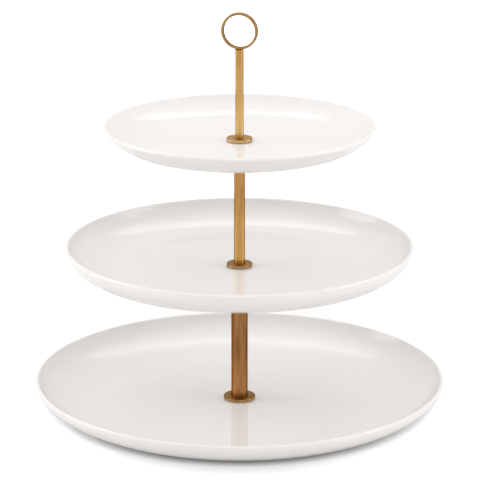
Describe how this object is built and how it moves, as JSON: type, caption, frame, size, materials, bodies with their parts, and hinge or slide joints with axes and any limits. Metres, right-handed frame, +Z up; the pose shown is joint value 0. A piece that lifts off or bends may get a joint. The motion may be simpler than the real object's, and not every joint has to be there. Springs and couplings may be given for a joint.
{
  "type": "tiered cake stand",
  "caption": "Cake stand of stacked round porcelain coupe plates on stepped brass rods, with a flange over each plate and a finger ring on top.",
  "frame": {"origin": "centre of the bottom plate's foot ring, on the table", "axes": "+Z up the rods, +Y along the axis of the finger ring's hole, +X across the ring"},
  "size_m": [0.3, 0.3, 0.2996],
  "materials": {
    "porcelain": "white glaze, glossy",
    "light_brass": "antique brass, brushed along the rod",
    "antique_brass": "antique brass, brushed",
    "dark_brass": "darkened antique brass, brushed",
    "plain_brass": "turned brass, as machined",
    "zinc_steel": "zinc plated steel",
    "soft_washer": "clear soft vinyl"
  },
  "bodies": {
    "base": {"bottom_plate": "porcelain", "base_screw": "zinc_steel", "base_washer": "zinc_steel", "base_under_gasket": "soft_washer"},
    "bottom_collar": {"bottom_flange": "antique_brass", "base_upper_gasket": "soft_washer"},
    "bottom_column": {"bottom_rod": "dark_brass", "bottom_rod_lower_plug": "plain_brass", "bottom_rod_upper_plug": "plain_brass", "lower_stud": "zinc_steel", "middle_under_washer": "zinc_steel", "middle_under_gasket": "soft_washer", "middle_plate": "porcelain"},
    "middle_collar": {"middle_flange": "antique_brass", "middle_upper_gasket": "soft_washer"},
    "middle_column": {"middle_rod": "antique_brass", "upper_stud": "zinc_steel", "top_under_washer": "zinc_steel", "top_under_gasket": "soft_washer", "top_plate": "porcelain"},
    "top_collar": {"top_flange": "antique_brass", "top_upper_gasket": "soft_washer"},
    "handle": {"top_rod": "light_brass", "handle_ring": "light_brass"}
  },
  "joints": [
    {"name": "bottom_turn", "type": "hinge", "parent": "base", "child": "bottom_collar", "pos_m": [0, 0, 0.0126], "axis": [0, 0, 1], "range_deg": [0, 2520]},
    {"name": "bottom_lift", "type": "slide", "parent": "bottom_collar", "child": "bottom_column", "axis": [0, 0, 1], "range_m": [0, 0.0071]},
    {"name": "middle_turn", "type": "hinge", "parent": "bottom_column", "child": "middle_collar", "pos_m": [0, 0, 0.1145], "axis": [0, 0, 1], "range_deg": [0, 3600]},
    {"name": "middle_lift", "type": "slide", "parent": "middle_collar", "child": "middle_column", "axis": [0, 0, 1], "range_m": [0, 0.0081]},
    {"name": "handle_turn", "type": "hinge", "parent": "middle_column", "child": "top_collar", "pos_m": [0, 0, 0.2084], "axis": [0, 0, 1], "range_deg": [0, 3600]},
    {"name": "handle_lift", "type": "slide", "parent": "top_collar", "child": "handle", "axis": [0, 0, 1], "range_m": [0, 0.0071]}
  ],
  "couplings": [
    {"joint": "bottom_lift", "follows": "bottom_turn", "m_per_rad": 0.00015915},
    {"joint": "middle_lift", "follows": "middle_turn", "m_per_rad": 0.00012732},
    {"joint": "handle_lift", "follows": "handle_turn", "m_per_rad": 0.00011141}
  ]
}
